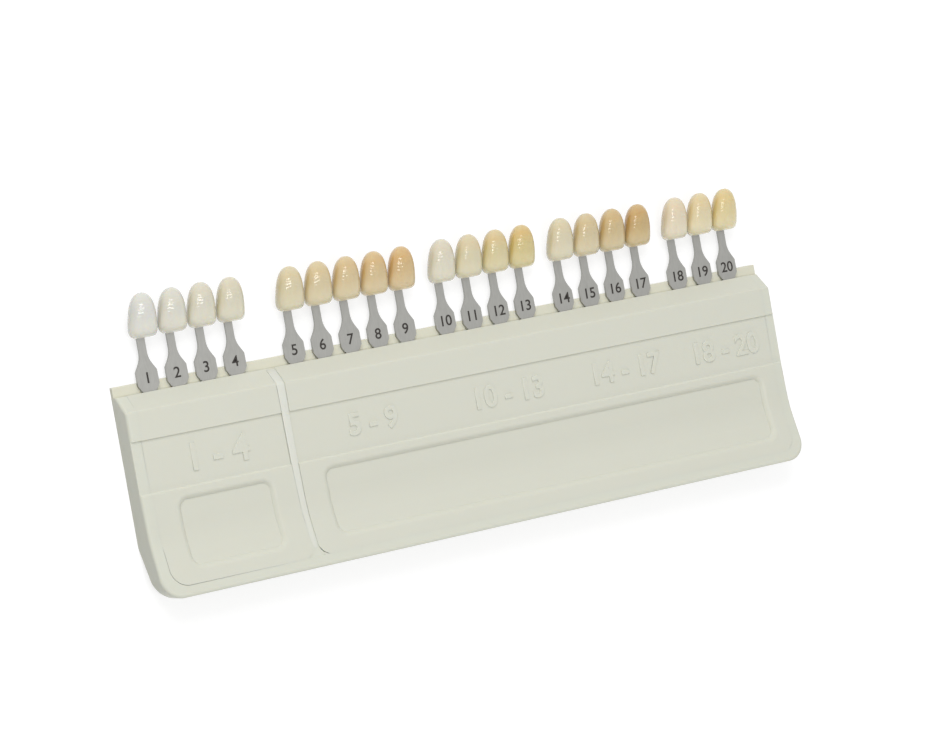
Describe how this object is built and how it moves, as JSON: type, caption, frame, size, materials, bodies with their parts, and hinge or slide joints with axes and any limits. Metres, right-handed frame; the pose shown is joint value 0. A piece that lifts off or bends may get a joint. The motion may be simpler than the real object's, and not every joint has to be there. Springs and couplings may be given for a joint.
{
  "type": "dental shade guide",
  "caption": "Long moulded tray with two dished front sections and a row of tooth-shaped shade tabs on steel strips that pull out of slots along one edge.",
  "frame": {"origin": "under the middle of the whole guide, on the plane of the holder's flat back", "axes": "+X along the row of tabs towards the long front section, +Y from the lip towards the tabs, +Z out of the front face"},
  "size_m": [0.2146, 0.0842, 0.0128],
  "materials": {
    "tray": "satin",
    "front": "satin",
    "strip": "satin",
    "shade_01": "gloss",
    "shade_02": "gloss",
    "shade_03": "gloss",
    "shade_04": "gloss",
    "shade_05": "gloss",
    "shade_06": "gloss",
    "shade_07": "gloss",
    "shade_08": "gloss",
    "shade_09": "gloss",
    "shade_10": "gloss",
    "shade_11": "gloss",
    "shade_12": "gloss",
    "shade_13": "gloss",
    "shade_14": "gloss",
    "shade_15": "gloss",
    "shade_16": "gloss",
    "shade_17": "gloss",
    "shade_18": "gloss",
    "shade_19": "gloss",
    "shade_20": "gloss"
  },
  "bodies": {
    "holder": {"carrier": "tray", "small_holder": "front", "large_holder": "front"},
    "tab_01": {"stem_01": "strip", "tooth_01": "shade_01"},
    "tab_02": {"stem_02": "strip", "tooth_02": "shade_02"},
    "tab_03": {"stem_03": "strip", "tooth_03": "shade_03"},
    "tab_04": {"stem_04": "strip", "tooth_04": "shade_04"},
    "tab_05": {"stem_05": "strip", "tooth_05": "shade_05"},
    "tab_06": {"stem_06": "strip", "tooth_06": "shade_06"},
    "tab_07": {"stem_07": "strip", "tooth_07": "shade_07"},
    "tab_08": {"stem_08": "strip", "tooth_08": "shade_08"},
    "tab_09": {"stem_09": "strip", "tooth_09": "shade_09"},
    "tab_10": {"stem_10": "strip", "tooth_10": "shade_10"},
    "tab_11": {"stem_11": "strip", "tooth_11": "shade_11"},
    "tab_12": {"stem_12": "strip", "tooth_12": "shade_12"},
    "tab_13": {"stem_13": "strip", "tooth_13": "shade_13"},
    "tab_14": {"stem_14": "strip", "tooth_14": "shade_14"},
    "tab_15": {"stem_15": "strip", "tooth_15": "shade_15"},
    "tab_16": {"stem_16": "strip", "tooth_16": "shade_16"},
    "tab_17": {"stem_17": "strip", "tooth_17": "shade_17"},
    "tab_18": {"stem_18": "strip", "tooth_18": "shade_18"},
    "tab_19": {"stem_19": "strip", "tooth_19": "shade_19"},
    "tab_20": {"stem_20": "strip", "tooth_20": "shade_20"}
  },
  "joints": [
    {"name": "tab_01_pull", "type": "slide", "parent": "holder", "child": "tab_01", "axis": [0, 1, 0], "range_m": [0, 0.009]},
    {"name": "tab_02_pull", "type": "slide", "parent": "holder", "child": "tab_02", "axis": [0, 1, 0], "range_m": [0, 0.009]},
    {"name": "tab_03_pull", "type": "slide", "parent": "holder", "child": "tab_03", "axis": [0, 1, 0], "range_m": [0, 0.009]},
    {"name": "tab_04_pull", "type": "slide", "parent": "holder", "child": "tab_04", "axis": [0, 1, 0], "range_m": [0, 0.009]},
    {"name": "tab_05_pull", "type": "slide", "parent": "holder", "child": "tab_05", "axis": [0, 1, 0], "range_m": [0, 0.009]},
    {"name": "tab_06_pull", "type": "slide", "parent": "holder", "child": "tab_06", "axis": [0, 1, 0], "range_m": [0, 0.009]},
    {"name": "tab_07_pull", "type": "slide", "parent": "holder", "child": "tab_07", "axis": [0, 1, 0], "range_m": [0, 0.009]},
    {"name": "tab_08_pull", "type": "slide", "parent": "holder", "child": "tab_08", "axis": [0, 1, 0], "range_m": [0, 0.009]},
    {"name": "tab_09_pull", "type": "slide", "parent": "holder", "child": "tab_09", "axis": [0, 1, 0], "range_m": [0, 0.009]},
    {"name": "tab_10_pull", "type": "slide", "parent": "holder", "child": "tab_10", "axis": [0, 1, 0], "range_m": [0, 0.009]},
    {"name": "tab_11_pull", "type": "slide", "parent": "holder", "child": "tab_11", "axis": [0, 1, 0], "range_m": [0, 0.009]},
    {"name": "tab_12_pull", "type": "slide", "parent": "holder", "child": "tab_12", "axis": [0, 1, 0], "range_m": [0, 0.009]},
    {"name": "tab_13_pull", "type": "slide", "parent": "holder", "child": "tab_13", "axis": [0, 1, 0], "range_m": [0, 0.009]},
    {"name": "tab_14_pull", "type": "slide", "parent": "holder", "child": "tab_14", "axis": [0, 1, 0], "range_m": [0, 0.009]},
    {"name": "tab_15_pull", "type": "slide", "parent": "holder", "child": "tab_15", "axis": [0, 1, 0], "range_m": [0, 0.009]},
    {"name": "tab_16_pull", "type": "slide", "parent": "holder", "child": "tab_16", "axis": [0, 1, 0], "range_m": [0, 0.009]},
    {"name": "tab_17_pull", "type": "slide", "parent": "holder", "child": "tab_17", "axis": [0, 1, 0], "range_m": [0, 0.009]},
    {"name": "tab_18_pull", "type": "slide", "parent": "holder", "child": "tab_18", "axis": [0, 1, 0], "range_m": [0, 0.009]},
    {"name": "tab_19_pull", "type": "slide", "parent": "holder", "child": "tab_19", "axis": [0, 1, 0], "range_m": [0, 0.009]},
    {"name": "tab_20_pull", "type": "slide", "parent": "holder", "child": "tab_20", "axis": [0, 1, 0], "range_m": [0, 0.009]}
  ]
}
